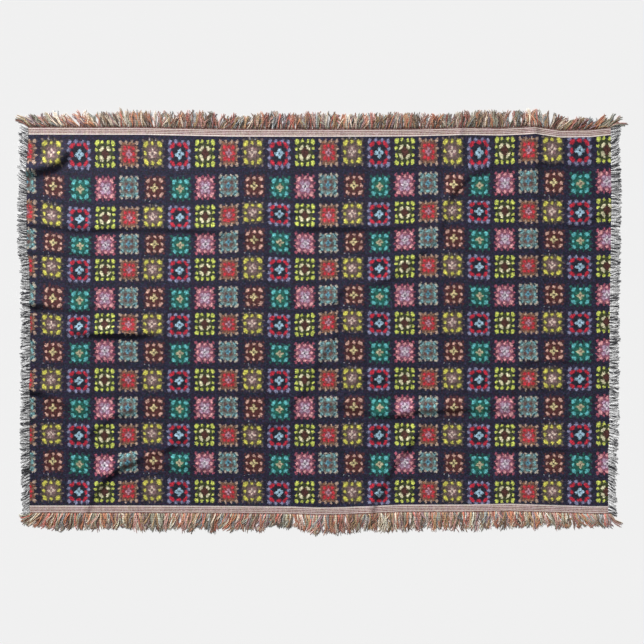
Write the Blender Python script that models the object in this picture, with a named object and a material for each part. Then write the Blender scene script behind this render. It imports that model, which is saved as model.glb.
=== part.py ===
"""A woven throw with a granny square pattern, laid out flat and face up.

One woven panel with soft folds, a woven heading band along each long edge, and a fringe on all
four edges. Metres, +Z up. The throw is long along X. Its underside lies on z = 0 between the folds,
and the origin is under the centre of the whole outline.
"""

import math
import random

import bmesh
import bpy
from mathutils import Vector
from mathutils.geometry import delaunay_2d_cdt

MM = 0.001

# The woven panel's mean edges, measured from the centre of the throw
PANEL_LEFT = -0.6587
PANEL_RIGHT = 0.6502
PANEL_TOP = 0.4195
PANEL_BOTTOM = -0.4125

CLOTH = 0.0022
SEAM = 0.0003
HEADING_WIDTH = 0.0175
BACKING_WIDTH = 0.003

# How far each edge of the panel stands out past its mean line: (place along the edge, stand-out), in mm
EDGE_WANDER = {
    "top": ((-611, 2.7), (-408, 2.3), (-205, -1.8), (-2, -2.3), (200, -1.4), (335, 1.8),
            (403, 0.5), (482, 4.0), (538, -4.0), (606, -3.0), (648, 1.5)),
    "bottom": ((-611, 0.4), (-408, 0.4), (-205, 1.6), (-70, 2.7), (-2, 5.0), (54, 4.0),
               (182, -1.4), (335, -1.8), (425, -3.6), (606, 2.0)),
    "left": ((-412, -2.5), (-176, -2.7), (-18, -3.8), (50, -3.8), (135, -0.9), (162, 3.6),
             (342, 4.1), (419, 0.5)),
    "right": ((-412, -3.6), (-288, -3.6), (-266, -1.1), (-131, -1.1), (27, -0.2), (162, 2.2),
              (275, 3.6), (410, 2.0)),
}

# The main soft folds: name, how far the gentle side reaches, and the points that the crest runs
# through, each as (across, up, height), all in mm. One that runs off the cloth's edge starts well
# outside it.
FOLDS = (
    ("upper_left_tuck", 28, (
        (-740, 320, 11), (-664, 341, 13), (-625, 346, 13), (-607, 352, 13), (-590, 364, 13),
        (-577, 379, 12), (-566, 396, 9), (-560, 410, 0))),
    ("left_long_ridge", 28, (
        (-740, 224, 5), (-640, 222, 5), (-560, 214, 8), (-330, 213, 6), (-150, 192, 4), (-72, 177, 4),
        (-29, 118, 3), (-27, 60, 0))),
    ("middle_long_ridge", 28, ((-75, 217, 0), (-35, 215, 7), (50, 215, 8), (200, 217, 0))),
    ("long_diagonal", 28, (
        (400, 372, 0), (325, 326, 6), (290, 288, 7), (272, 228, 6), (222, 158, 4), (153, 100, 5),
        (60, 72, 0))),
    ("middle_slant", 28, (
        (66, 92, 0), (36, 64, 6), (30, -25, 5), (-12, -93, 6), (-42, -155, 6), (-150, -255, 0))),
    ("top_upright_ridge", 24, ((311, 520, 4), (313, 400, 4), (315, 290, 0))),
    ("right_upright_ridge", 26, (
        (482, 520, 5), (480, 400, 5), (480, 360, 9), (480, 250, 3), (482, 200, 7), (486, 110, 0))),
    ("right_edge_ridge", 26, ((500, 226, 0), (590, 228, 4), (620, 243, 5), (740, 260, 0))),
    ("left_edge_upper_fold", 26, (
        (-740, 42, 14), (-665, 44, 14), (-635, 41, 11), (-600, 36, 5), (-510, 27, 0))),
    ("left_edge_lower_fold", 26, (
        (-740, -146, 14), (-667, -150, 14), (-630, -155, 11), (-600, -170, 7), (-515, -215, 0))),
    ("left_short_ridge", 28, (
        (-590, -20, 0), (-540, -24, 9), (-480, -25, 12), (-420, -25, 12), (-390, -25, 7), (-360, -22, 0))),
    ("lower_left_bow", 26, ((-545, -275, 0), (-515, -243, 6), (-468, -209, 7), (-395, -194, 0))),
    ("lower_left_diagonal", 28, (
        (-550, -480, 3), (-522, -405, 4), (-490, -352, 10), (-451, -322, 11), (-380, -298, 5),
        (-350, -284, 7), (-290, -250, 0))),
    ("lower_long_ridge", 28, (
        (0, -184, 0), (25, -185, 6), (130, -206, 8), (290, -194, 9), (350, -192, 5), (455, -188, 0))),
    ("lower_middle_diagonal", 28, (
        (95, -490, 4), (112, -423, 5), (124, -392, 8), (165, -315, 6), (205, -262, 8), (235, -222, 0))),
    ("lower_right_ridge", 26, ((405, -279, 0), (435, -280, 5), (545, -283, 5), (575, -285, 0))),
)
# How sharply two folds that cross share their height: higher keeps more of the taller one
FOLD_SHARING = 3
# How far the steep sides of the folds reach, and the way that they face, across and up
STEEP_REACH = 0.022
STEEP_WAY = Vector((0.6, -0.8))

# The cloth's triangles: a point each 12 mm on a fold, and each third of those points elsewhere
LATTICE_ACROSS = 108
LATTICE_UP = 69
COARSE_STEP = 3
FOLD_MARGIN = 0.004
# The points along each crest, and how far the cloth's other points keep from it and it from the edges
CREST_STEP = 0.012
CREST_CLEAR = 0.0065
CREST_INSET = 0.008

# The fringe locks: (place along the edge in mm, lean from straight out in degrees, length in mm).
# Lean is towards +X on the top and bottom edges and towards +Y on the left and right ones.
FRINGE = {
    "top": ((-660, -48, 40), (-647, -38, 40), (-588, -34, 38), (-572, -25, 38), (-566, -36, 37),
            (-509, -30, 38), (-475, -18, 40), (-442, -4, 41), (-408, -6, 41), (-381, -22, 38),
            (-363, 16, 38), (-329, 0, 39), (-261, -4, 40), (-234, -16, 38), (-223, 28, 34),
            (-183, 22, 36), (-169, 26, 36), (-133, 8, 40), (-48, 0, 40), (20, -5, 40),
            (65, -10, 36), (83, 6, 37), (178, 3, 39), (225, -8, 38), (241, 10, 38), (335, 4, 40),
            (448, 0, 40), (504, -12, 38), (529, 42, 32), (606, 42, 34), (628, 40, 38), (648, 64, 43)),
    "bottom": ((-660, -60, 38), (-633, -42, 40), (-599, -25, 40), (-566, -14, 40), (-502, -12, 41),
               (-487, 8, 40), (-453, -4, 42), (-318, -8, 43), (-250, -20, 43), (-138, -18, 41),
               (-88, -14, 31), (-57, 14, 34), (-14, 4, 45), (13, -10, 44), (29, 10, 46),
               (56, -4, 46), (70, 4, 46), (97, -6, 45), (106, 6, 44), (178, 0, 43), (290, 4, 42),
               (403, 4, 41), (470, 14, 40), (538, 22, 39), (579, 20, 37), (606, 26, 34), (648, 40, 37)),
    "left": ((-432, -14, 20), (-401, -36, 20), (-356, -25, 20), (-266, -12, 20), (-176, -8, 20),
             (-63, -5, 20), (50, 0, 20), (140, -5, 19), (207, 5, 20), (241, -8, 20), (275, 0, 20),
             (297, 28, 20), (331, 32, 20), (365, 18, 18), (399, 30, 20), (433, 14, 20)),
    "right": ((-432, -16, 20), (-401, -36, 20), (-356, -30, 20), (-266, -20, 20), (-131, -5, 20),
              (50, 0, 20), (162, -8, 20), (275, -5, 20), (342, 10, 20), (399, 34, 20), (433, 8, 20)),
}
LOCKS = {"top": 72, "bottom": 72, "left": 38, "right": 38}
LOCK_GAP = 0.0022
LOCK_HEIGHT = 0.0034
LOCK_TOP_SHARE = 0.6
MID_WIDTH_SHARE = 0.82
TIP_WIDTH_SHARE = 0.42
TIP_HEIGHT = 0.0014
LENGTH_JITTER = 0.07
LEAN_JITTER = 3.0

WOVEN_NAVY = (0.035, 0.035, 0.075)
HEADING_PINK = (0.56, 0.44, 0.41)
FRINGE_MIXED = (0.42, 0.30, 0.24)
FRINGE_GREY = (0.50, 0.50, 0.50)


def between(rows, place, column):
    """The value in a column of a table at a place along it, straight between the table's rows."""
    if place <= rows[0][0]:
        return rows[0][column]
    for low, high in zip(rows, rows[1:]):
        if place <= high[0]:
            share = (place - low[0]) / (high[0] - low[0])
            return low[column] + (high[column] - low[column]) * share
    return rows[-1][column]


def crest_nearest(spot, crest):
    """How far a spot is from a fold's crest, how high the crest is there, and the way to the spot."""
    best, height, way = math.inf, 0.0, None
    for (start, low), (end, high) in zip(crest, crest[1:]):
        along = end - start
        share = max(0.0, min(1.0, (spot - start).dot(along) / along.length_squared))
        away = spot - start - along * share
        if away.length < best:
            best, height, way = away.length, low + (high - low) * share, away
    return best, height, way


CRESTS = [
    (reach * MM, [(Vector((x * MM, y * MM)), height * MM) for x, y, height in points])
    for name, reach, points in FOLDS
]


def relief(x, y):
    """How high the cloth's underside stands over the floor: a rounded ridge along each fold's crest."""
    spot = Vector((x, y))
    total = 0.0
    for gentle, crest in CRESTS:
        distance, height, way = crest_nearest(spot, crest)
        reach = STEEP_REACH if way.dot(STEEP_WAY) > 0 else gentle
        if distance < reach:
            ridge = height * 0.5 * (1 + math.cos(math.pi * distance / reach))
            total += ridge**FOLD_SHARING
    return total ** (1 / FOLD_SHARING)


def on_fold(x, y):
    """Whether a spot lies on a fold, or so near to one that the cloth needs its fine triangles."""
    spot = Vector((x, y))
    return any(crest_nearest(spot, crest)[0] < reach + FOLD_MARGIN for reach, crest in CRESTS)


def edge_line(side, place):
    """The coordinate across an edge of the panel, at a place along it, in metres."""
    mean = {"top": PANEL_TOP, "bottom": PANEL_BOTTOM, "left": PANEL_LEFT, "right": PANEL_RIGHT}[side]
    outward = 1 if side in ("top", "right") else -1
    return mean + outward * between(EDGE_WANDER[side], place / MM, 1) * MM


def panel_spot(column, row):
    """The spot of a lattice point on the panel, which takes up the wander of all four edges."""
    x = PANEL_LEFT + (PANEL_RIGHT - PANEL_LEFT) * column / LATTICE_ACROSS
    y = PANEL_BOTTOM + (PANEL_TOP - PANEL_BOTTOM) * row / LATTICE_UP
    left, right = edge_line("left", y), edge_line("right", y)
    bottom, top = edge_line("bottom", x), edge_line("top", x)
    return Vector((
        left + (right - left) * column / LATTICE_ACROSS,
        bottom + (top - bottom) * row / LATTICE_UP,
    ))


def kept(column, row):
    """Whether the cloth has a point here: each one on a fold, and each third one elsewhere."""
    coarse = column % COARSE_STEP == 0 and row % COARSE_STEP == 0
    return coarse or on_fold(*panel_spot(column, row))


def edge_spots(side):
    """The panel's own points along one edge, from its left or lower end."""
    if side in ("top", "bottom"):
        row = LATTICE_UP if side == "top" else 0
        spots = [(column, row) for column in range(LATTICE_ACROSS + 1)]
    else:
        column = LATTICE_ACROSS if side == "right" else 0
        spots = [(column, row) for row in range(LATTICE_UP + 1)]
    return [panel_spot(*spot) for spot in spots if kept(*spot)]


def heading_spots(side):
    """The two long sides of a heading band: next to the panel, and next to the fringe."""
    outward = 1 if side == "top" else -1
    inner = [spot + Vector((0, outward * SEAM)) for spot in edge_spots(side)]
    outer = [spot + Vector((0, outward * HEADING_WIDTH)) for spot in inner]
    return inner, outer


def backing_spots(side):
    """The side of a fringe's backing that meets the throw, from its left or lower end."""
    if side in ("top", "bottom"):
        outward = 1 if side == "top" else -1
        return [spot + Vector((0, outward * SEAM)) for spot in heading_spots(side)[1]]
    end = 0 if side == "left" else -1
    outward = -1 if side == "left" else 1
    below = heading_spots("bottom")
    above = heading_spots("top")
    line = [below[1][end], *edge_spots(side), above[1][end]]
    return [spot + Vector((outward * SEAM, 0)) for spot in line]


def material(name, colour, roughness):
    """A plain cloth finish."""
    made = bpy.data.materials.new(name)
    made.use_nodes = True
    shader = made.node_tree.nodes["Principled BSDF"]
    shader.inputs["Base Color"].default_value = (*colour, 1)
    shader.inputs["Roughness"].default_value = roughness
    shader.inputs["Metallic"].default_value = 0
    return made


def node_from(mesh_builder, name, finish, parent):
    """One named object from a bmesh, with its faces pointing out."""
    bmesh.ops.recalc_face_normals(mesh_builder, faces=mesh_builder.faces)
    mesh = bpy.data.meshes.new(name)
    mesh_builder.to_mesh(mesh)
    mesh_builder.free()
    mesh.materials.append(finish)
    made = bpy.data.objects.new(name, mesh)
    made.parent = parent
    bpy.context.scene.collection.objects.link(made)
    return made


def thicken(sheet):
    """Gives a sheet in a bmesh its cloth thickness, straight up from its underside."""
    raised = bmesh.ops.extrude_face_region(sheet, geom=sheet.faces[:])["geom"]
    corners = [part for part in raised if isinstance(part, bmesh.types.BMVert)]
    bmesh.ops.translate(sheet, verts=corners, vec=(0, 0, CLOTH))


def well_inside(spot):
    """Whether a spot lies on the panel, clear of its edges."""
    left, right = edge_line("left", spot.y), edge_line("right", spot.y)
    bottom, top = edge_line("bottom", spot.x), edge_line("top", spot.x)
    across = left + CREST_INSET < spot.x < right - CREST_INSET
    return across and bottom + CREST_INSET < spot.y < top - CREST_INSET


def crest_spots():
    """Points along the crests of the folds, so that each ridge keeps its line."""
    spots = []
    for reach, crest in CRESTS:
        for (start, low), (end, high) in zip(crest, crest[1:]):
            steps = max(1, round((end - start).length / CREST_STEP))
            for i in range(steps):
                spot = start.lerp(end, i / steps)
                if well_inside(spot) and all((spot - other).length > CREST_CLEAR for other in spots):
                    spots.append(spot)
    return spots


def off_crests(spot):
    """Whether a spot keeps clear of every crest."""
    return all(crest_nearest(spot, crest)[0] > CREST_CLEAR for reach, crest in CRESTS)


def add_spot(sheet, spot):
    """A corner of the cloth's underside."""
    return sheet.verts.new((spot.x, spot.y, relief(spot.x, spot.y)))


def make_panel(finish, parent):
    """The woven panel, one sheet over all the folds."""
    spots = [
        panel_spot(column, row)
        for row in range(1, LATTICE_UP)
        for column in range(1, LATTICE_ACROSS)
        if kept(column, row)
    ]
    spots = [spot for spot in spots if off_crests(spot)] + crest_spots()
    border = (
        edge_spots("bottom")
        + edge_spots("right")[1:]
        + edge_spots("top")[-2::-1]
        + edge_spots("left")[-2:0:-1]
    )
    outline = list(range(len(border)))
    spots, _, triangles, *_ = delaunay_2d_cdt(border + spots, [], [outline], 1, MM * 0.01)
    sheet = bmesh.new()
    corners = [add_spot(sheet, spot) for spot in spots]
    for triangle in triangles:
        sheet.faces.new([corners[i] for i in triangle])
    thicken(sheet)
    return node_from(sheet, "woven_panel", finish, parent)


def make_heading(side, finish, parent):
    """The plain woven band between the panel and a long edge's fringe."""
    sheet = bmesh.new()
    inner, outer = ([add_spot(sheet, spot) for spot in line] for line in heading_spots(side))
    for i in range(len(inner) - 1):
        sheet.faces.new((inner[i], inner[i + 1], outer[i + 1], outer[i]))
    thicken(sheet)
    return node_from(sheet, f"{side}_heading", finish, parent)


def fringe_locks(side):
    """Each lock's place along its edge, lean and length, with a little chance in them, and the pitch."""
    chance = random.Random(f"{side} locks")
    line = backing_spots(side)
    axis = 0 if side in ("top", "bottom") else 1
    start, end = line[0][axis], line[-1][axis]
    pitch = (end - start) / LOCKS[side]
    locks = []
    for i in range(LOCKS[side]):
        place = start + pitch * (i + 0.5)
        lean = between(FRINGE[side], place / MM, 1) + chance.uniform(-LEAN_JITTER, LEAN_JITTER)
        length = between(FRINGE[side], place / MM, 2) * MM
        length *= 1 + chance.uniform(-LENGTH_JITTER, LENGTH_JITTER)
        locks.append((place, math.radians(lean), length))
    return locks, pitch


def make_fringe(side, finish, parent):
    """A fringe: a narrow backing strip on the throw's edge, and locks that lie on the floor."""
    level = side in ("top", "bottom")
    outward = 1 if side in ("top", "right") else -1
    line = backing_spots(side)
    places = [(spot.x if level else spot.y, spot.y if level else spot.x) for spot in line]
    locks, pitch = fringe_locks(side)
    fringe = bmesh.new()

    def corner(place, across, height):
        return fringe.verts.new((place, across, height) if level else (across, place, height))

    def pair(place, across):
        """The lower and upper corner of the backing at one spot."""
        under = relief(place, across) if level else relief(across, place)
        return corner(place, across, under), corner(place, across, under + CLOTH)

    inner = [(place, pair(place, across)) for place, across in places]
    half = (pitch - LOCK_GAP) / 2
    stops = [places[0][0]] + [p + s * half for p, _, _ in locks for s in (-1, 1)] + [places[-1][0]]
    outer = []
    for stop in stops:
        across = between(places, stop, 1) + outward * BACKING_WIDTH
        outer.append((stop, across, pair(stop, across)))

    close_backing(fringe, inner, outer)
    tips = [place + length * math.sin(lean) for place, lean, length in locks]
    for i, (place, lean, length) in enumerate(locks):
        near = [abs(tips[k] - tips[i]) for k in (i - 1, i + 1) if 0 <= k < len(tips)]
        room = max(min([pitch, *near]) - LOCK_GAP, MM)
        low_a, high_a = outer[2 * i + 1][2]
        low_b, high_b = outer[2 * i + 2][2]
        root = (outer[2 * i + 1][1] + outer[2 * i + 2][1]) / 2
        bend = place + length * 0.5 * math.sin(lean * 0.8)
        middle = root + outward * length * 0.5 * math.cos(lean * 0.8)
        lock = (low_a, low_b, high_b, high_a)
        wide = min(2 * half, (pitch + room) / 2) * MID_WIDTH_SHARE / 2
        lift = (low_a.co.z + low_b.co.z) / 6
        ring = (
            corner(bend - wide, middle, lift),
            corner(bend + wide, middle, lift),
            corner(bend + wide * LOCK_TOP_SHARE, middle, lift + LOCK_HEIGHT),
            corner(bend - wide * LOCK_TOP_SHARE, middle, lift + LOCK_HEIGHT),
        )
        thin = room * TIP_WIDTH_SHARE / 2
        far = root + outward * length * math.cos(lean)
        end = (
            corner(tips[i] - thin, far, 0),
            corner(tips[i] + thin, far, 0),
            corner(tips[i] + thin, far, TIP_HEIGHT),
            corner(tips[i] - thin, far, TIP_HEIGHT),
        )
        for first, second in ((lock, ring), (ring, end)):
            for k in range(4):
                fringe.faces.new((first[k], first[k - 3], second[k - 3], second[k]))
        fringe.faces.new(end)
    return node_from(fringe, f"{side}_fringe", finish, parent)


def close_backing(fringe, inner, outer):
    """The faces of a backing strip, all but the spans that the locks grow from."""
    for low in (0, 1):
        zip_band(fringe, [(place, pair[low]) for place, pair in inner],
                 [(place, pair[low]) for place, _, pair in outer])
    for (_, first), (_, second) in zip(inner, inner[1:]):
        fringe.faces.new((first[0], second[0], second[1], first[1]))
    for i in range(0, len(outer) - 1, 2):
        first, second = outer[i][2], outer[i + 1][2]
        fringe.faces.new((first[0], second[0], second[1], first[1]))
    for (_, near), (_, _, far) in ((inner[0], outer[0]), (inner[-1], outer[-1])):
        fringe.faces.new((near[0], far[0], far[1], near[1]))


def zip_band(fringe, one, other):
    """Triangles between two lines of corners that start and end together."""
    i = k = 0
    while i < len(one) - 1 or k < len(other) - 1:
        step_one = k == len(other) - 1 or (i < len(one) - 1 and one[i + 1][0] <= other[k + 1][0])
        if step_one:
            fringe.faces.new((one[i][1], one[i + 1][1], other[k][1]))
            i += 1
        else:
            fringe.faces.new((one[i][1], other[k + 1][1], other[k][1]))
            k += 1


def centre_on_origin(parent, nodes):
    """Moves the throw so that the middle of its outline is at X 0, Y 0."""
    corners = [vertex.co for node in nodes for vertex in node.data.vertices]
    for axis in (0, 1):
        low = min(corner[axis] for corner in corners)
        high = max(corner[axis] for corner in corners)
        parent.location[axis] = -(low + high) / 2


def main():
    for old in list(bpy.data.objects):
        bpy.data.objects.remove(old, do_unlink=True)
    throw = bpy.data.objects.new("throw", None)
    bpy.context.scene.collection.objects.link(throw)
    woven = material("woven cloth", WOVEN_NAVY, 0.95)
    band = material("heading band", HEADING_PINK, 0.9)
    mixed = material("mixed fringe yarn", FRINGE_MIXED, 0.9)
    grey = material("black and white fringe yarn", FRINGE_GREY, 0.9)
    nodes = [make_panel(woven, throw)]
    for side in ("top", "bottom"):
        nodes.append(make_heading(side, band, throw))
        nodes.append(make_fringe(side, mixed, throw))
    for side in ("left", "right"):
        nodes.append(make_fringe(side, grey, throw))
    centre_on_origin(throw, nodes)


main()
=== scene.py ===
"""The looks of a woven throw with a granny square pattern, laid out flat and face up.

A finely folded woven panel, two woven heading bands, and four fringes of single yarns, each of them
on the solids that they stand for. Metres, +Z up.
"""

import math
import random

import bpy
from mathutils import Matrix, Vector


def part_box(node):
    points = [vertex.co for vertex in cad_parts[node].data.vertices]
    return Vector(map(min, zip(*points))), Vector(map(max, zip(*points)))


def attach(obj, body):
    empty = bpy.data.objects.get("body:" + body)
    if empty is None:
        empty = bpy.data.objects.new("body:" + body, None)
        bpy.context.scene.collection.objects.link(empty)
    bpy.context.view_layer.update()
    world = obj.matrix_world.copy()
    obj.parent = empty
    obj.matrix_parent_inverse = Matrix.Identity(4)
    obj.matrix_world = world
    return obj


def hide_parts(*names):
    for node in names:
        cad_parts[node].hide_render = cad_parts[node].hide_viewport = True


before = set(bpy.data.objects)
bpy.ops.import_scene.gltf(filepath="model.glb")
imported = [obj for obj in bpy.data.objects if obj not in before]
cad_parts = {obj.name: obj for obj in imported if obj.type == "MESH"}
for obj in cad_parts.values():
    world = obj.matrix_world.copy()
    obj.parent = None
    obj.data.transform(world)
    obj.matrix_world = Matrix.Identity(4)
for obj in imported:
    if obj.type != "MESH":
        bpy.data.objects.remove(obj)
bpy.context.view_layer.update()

MM = 0.001

# The woven panel's mean edges, measured from the centre of the throw as it was set out
PANEL_LEFT = -0.6587
PANEL_RIGHT = 0.6502
PANEL_TOP = 0.4195
PANEL_BOTTOM = -0.4125
CLOTH = 0.0022
HEADING_WIDTH = 0.0178
# The ribs along a heading: how high they stand, and how many there are across it
HEADING_RIB = 0.0003
HEADING_RIBS = 4.5
# How far a heading's face stands over the panel's, and how much thinner the sheets are than the solids
HEADING_LIFT = 0.0001
SHEET_THINNER = 0.0002
# How many faces the panel and a heading are divided into, along and across
PANEL_GRID = (262, 166)
HEADING_GRID = (400, 16)

# How far each edge of the panel stands out past its mean line: (place along the edge, stand-out), in mm
EDGE_WANDER = {
    "top": ((-611, 2.7), (-408, 2.3), (-205, -1.8), (-2, -2.3), (200, -1.4), (335, 1.8),
            (403, 0.5), (482, 4.0), (538, -4.0), (606, -3.0), (648, 1.5)),
    "bottom": ((-611, 0.4), (-408, 0.4), (-205, 1.6), (-70, 2.7), (-2, 5.0), (54, 4.0),
               (182, -1.4), (335, -1.8), (425, -3.6), (606, 2.0)),
    "left": ((-412, -2.5), (-176, -2.7), (-18, -3.8), (50, -3.8), (135, -0.9), (162, 3.6),
             (342, 4.1), (419, 0.5)),
    "right": ((-412, -3.6), (-288, -3.6), (-266, -1.1), (-131, -1.1), (27, -0.2), (162, 2.2),
              (275, 3.6), (410, 2.0)),
}

# The soft folds: name, reach to the gentle side and to the steep side, and the points that the crest runs
# through, each as (across, up, height), all in mm
FOLDS = (
    ("upper_left_tuck", 30, 18, (
        (-740, 321, 12), (-664, 342, 14), (-625, 348, 14), (-607, 354, 14), (-590, 365, 13),
        (-577, 379, 12), (-568, 392, 7), (-563, 402, 0))),
    ("left_long_ridge", 30, 13, (
        (-740, 224, 5), (-640, 222, 5), (-560, 214, 8), (-500, 213, 8), (-420, 213, 5), (-330, 213, 7),
        (-230, 205, 5), (-150, 192, 4), (-95, 182, 0))),
    ("second_left_ridge", 22, 13, ((-740, 163, 3), (-600, 161, 3), (-520, 160, 2), (-480, 158, 0))),
    ("upper_short_ridge", 24, 13, ((-160, 250, 0), (-120, 249, 4), (-60, 245, 3), (-20, 240, 0))),
    ("middle_long_ridge", 30, 13, (
        (-75, 217, 0), (-35, 215, 7), (50, 215, 8), (100, 214, 5), (150, 215, 4), (200, 217, 0))),
    ("middle_bow", 24, 15, ((-150, 194, 0), (-72, 177, 4), (-40, 152, 4), (-29, 118, 4), (-27, 60, 0))),
    ("long_diagonal", 28, 13, (
        (400, 372, 0), (378, 352, 3), (325, 326, 6), (290, 288, 7), (275, 250, 3), (272, 228, 6),
        (262, 191, 3), (222, 158, 4), (190, 128, 3), (153, 100, 5), (110, 84, 3), (60, 72, 0))),
    ("middle_slant", 28, 13, (
        (66, 92, 0), (36, 64, 6), (24, 30, 3), (30, -25, 5), (10, -60, 4), (-12, -93, 6), (-30, -125, 4),
        (-42, -155, 6), (-75, -190, 3), (-133, -239, 2), (-150, -255, 0))),
    ("middle_short_ridge", 22, 13, ((70, -123, 0), (100, -124, 5), (145, -124, 4), (175, -122, 0))),
    ("top_upright_ridge", 24, 13, ((311, 520, 4), (313, 400, 4), (315, 330, 3), (315, 290, 0))),
    ("right_upright_ridge", 26, 14, (
        (482, 520, 5), (480, 400, 5), (480, 360, 9), (480, 320, 5), (480, 250, 3), (482, 200, 7),
        (483, 150, 6), (486, 110, 0))),
    ("right_pinch", 20, 12, ((455, 366, 0), (490, 362, 5), (530, 359, 4), (570, 358, 0))),
    ("right_edge_ridge", 26, 14, (
        (500, 226, 0), (540, 224, 3), (590, 228, 4), (620, 243, 5), (660, 252, 2), (740, 260, 0))),
    ("right_slant", 24, 13, (
        (478, 0, 0), (460, -50, 3), (448, -95, 4), (435, -140, 3), (414, -187, 3), (400, -210, 0))),
    ("right_upper_ridge", 22, 13, (
        (440, -84, 0), (465, -85, 5), (500, -84, 3), (550, -84, 5), (590, -83, 2), (700, -80, 0))),
    ("right_lower_ridge", 22, 13, ((430, -142, 0), (470, -143, 4), (530, -143, 4), (570, -142, 0))),
    ("left_edge_upper_fold", 26, 12, (
        (-740, 42, 14), (-665, 44, 14), (-635, 41, 11), (-600, 36, 5), (-540, 29, 4), (-510, 27, 0))),
    ("left_edge_lower_fold", 26, 12, (
        (-740, -146, 14), (-667, -150, 14), (-630, -155, 11), (-600, -170, 7), (-570, -186, 5),
        (-540, -200, 3), (-515, -215, 0))),
    ("left_short_ridge", 28, 12, (
        (-590, -20, 0), (-540, -24, 9), (-480, -25, 12), (-420, -25, 12), (-390, -25, 7), (-360, -22, 0))),
    ("left_upright", 24, 14, ((-352, 110, 0), (-350, 60, 3), (-352, -20, 3), (-356, -80, 0))),
    ("lower_left_upright", 24, 14, ((-462, -90, 0), (-460, -140, 3), (-458, -200, 3), (-458, -240, 0))),
    ("lower_left_bow", 26, 12, (
        (-545, -275, 0), (-515, -243, 6), (-490, -225, 4), (-468, -209, 7), (-430, -198, 5),
        (-395, -194, 0))),
    ("lower_left_diagonal", 30, 13, (
        (-550, -480, 3), (-522, -405, 4), (-490, -352, 10), (-451, -322, 11), (-410, -308, 7),
        (-380, -298, 5), (-350, -284, 7), (-315, -265, 5), (-290, -250, 0))),
    ("lower_left_shelf", 24, 13, (
        (-420, -312, 0), (-380, -317, 5), (-320, -321, 5), (-260, -326, 4), (-225, -329, 0))),
    ("lower_short_ridge", 24, 13, ((-215, -226, 0), (-170, -229, 4), (-110, -230, 4), (-60, -224, 0))),
    ("lower_long_ridge", 30, 13, (
        (0, -184, 0), (25, -185, 6), (80, -192, 6), (130, -206, 8), (170, -207, 9), (215, -197, 8),
        (290, -194, 9), (350, -192, 5), (420, -191, 5), (455, -188, 0))),
    ("lower_middle_diagonal", 28, 13, (
        (95, -490, 4), (112, -423, 5), (124, -392, 8), (145, -350, 6), (165, -315, 6), (190, -285, 7),
        (205, -262, 8), (222, -238, 4), (235, -222, 0))),
    ("lower_right_ridge", 26, 13, (
        (405, -279, 0), (435, -280, 5), (490, -280, 6), (545, -283, 5), (575, -285, 0))),
)
FOLD_SHARING = 3
STEEP_WAY = Vector((0.6, -0.8))

# The fringe: (place along the edge in mm, lean from straight out in degrees, length in mm)
FRINGE = {
    "top": ((-660, -42, 36), (-647, -38, 40), (-588, -34, 38), (-572, -25, 38), (-566, -36, 37),
            (-509, -30, 38), (-475, -18, 40), (-442, -4, 41), (-408, -6, 41), (-381, -22, 38),
            (-363, 16, 38), (-329, 0, 39), (-261, -4, 40), (-234, -16, 38), (-223, 28, 34),
            (-183, 22, 36), (-169, 26, 36), (-133, 8, 40), (-48, 0, 40), (20, -5, 40),
            (65, -10, 36), (83, 6, 37), (178, 3, 39), (225, -8, 38), (241, 10, 38), (335, 4, 40),
            (448, 0, 40), (504, -12, 38), (529, 42, 32), (606, 42, 34), (628, 40, 38), (648, 60, 40)),
    "bottom": ((-660, -60, 38), (-633, -42, 40), (-599, -25, 40), (-566, -14, 40), (-502, -12, 41),
               (-487, 8, 40), (-453, -4, 42), (-318, -8, 43), (-250, -20, 43), (-138, -18, 41),
               (-88, -14, 31), (-57, 14, 34), (-14, 4, 45), (13, -10, 44), (29, 10, 46),
               (56, -4, 46), (70, 4, 46), (97, -6, 45), (106, 6, 44), (178, 0, 43), (290, 4, 42),
               (403, 4, 41), (470, 14, 40), (538, 22, 39), (579, 20, 37), (606, 26, 34), (648, 32, 36)),
    "left": ((-432, -14, 20), (-401, -36, 20), (-356, -25, 20), (-266, -12, 20), (-176, -8, 20),
             (-63, -5, 20), (50, 0, 20), (140, -5, 19), (207, 5, 20), (241, -8, 20), (275, 0, 20),
             (297, 28, 20), (331, 32, 20), (365, 18, 18), (399, 30, 20), (433, 14, 20)),
    "right": ((-432, -16, 20), (-401, -36, 20), (-356, -30, 20), (-266, -20, 20), (-131, -5, 20),
              (50, 0, 20), (162, -8, 20), (275, -5, 20), (342, 10, 20), (399, 34, 20), (433, 8, 20)),
}

# Where the rows of squares have their middles at the left, middle and right of the cloth, in mm.
# The two top rows are set wider apart than the others, and the rows above the middle climb to the right.
# Each row ends with the height that one square has there, with its share of the ground round it.
SQUARE_ROWS = (
    (378, 381, 385, 75), (301, 305, 312, 65), (235, 241, 249, 61), (174, 178, 187, 58),
    (117, 119, 126, 60), (53, 57, 61, 60), (-6, -4, -2, 60), (-68, -68, -66, 60),
    (-131, -130, -128, 60), (-194, -193, -192, 60), (-254, -255, -255, 60), (-317, -319, -319, 60),
    (-381, -384, -382, 60),
)
ROW_PLACES = (-406, -2, 403)
ROW_PITCH = 0.0605
# The columns repeat every four squares: the first one's middle, the repeat, and the four shares of it
FIRST_COLUMN = -0.6049
COLUMN_REPEAT = 0.2252
COLUMN_SHARES = (0.0, 0.27, 0.52, 0.76)
# The last column is stretched to the right: (place across, how far), in mm
COLUMN_STRETCH = ((-646, -5.4), (-634, -1.7), (-582, -1.7), (-572, 0), (560, 0), (638, 4.5))
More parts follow.
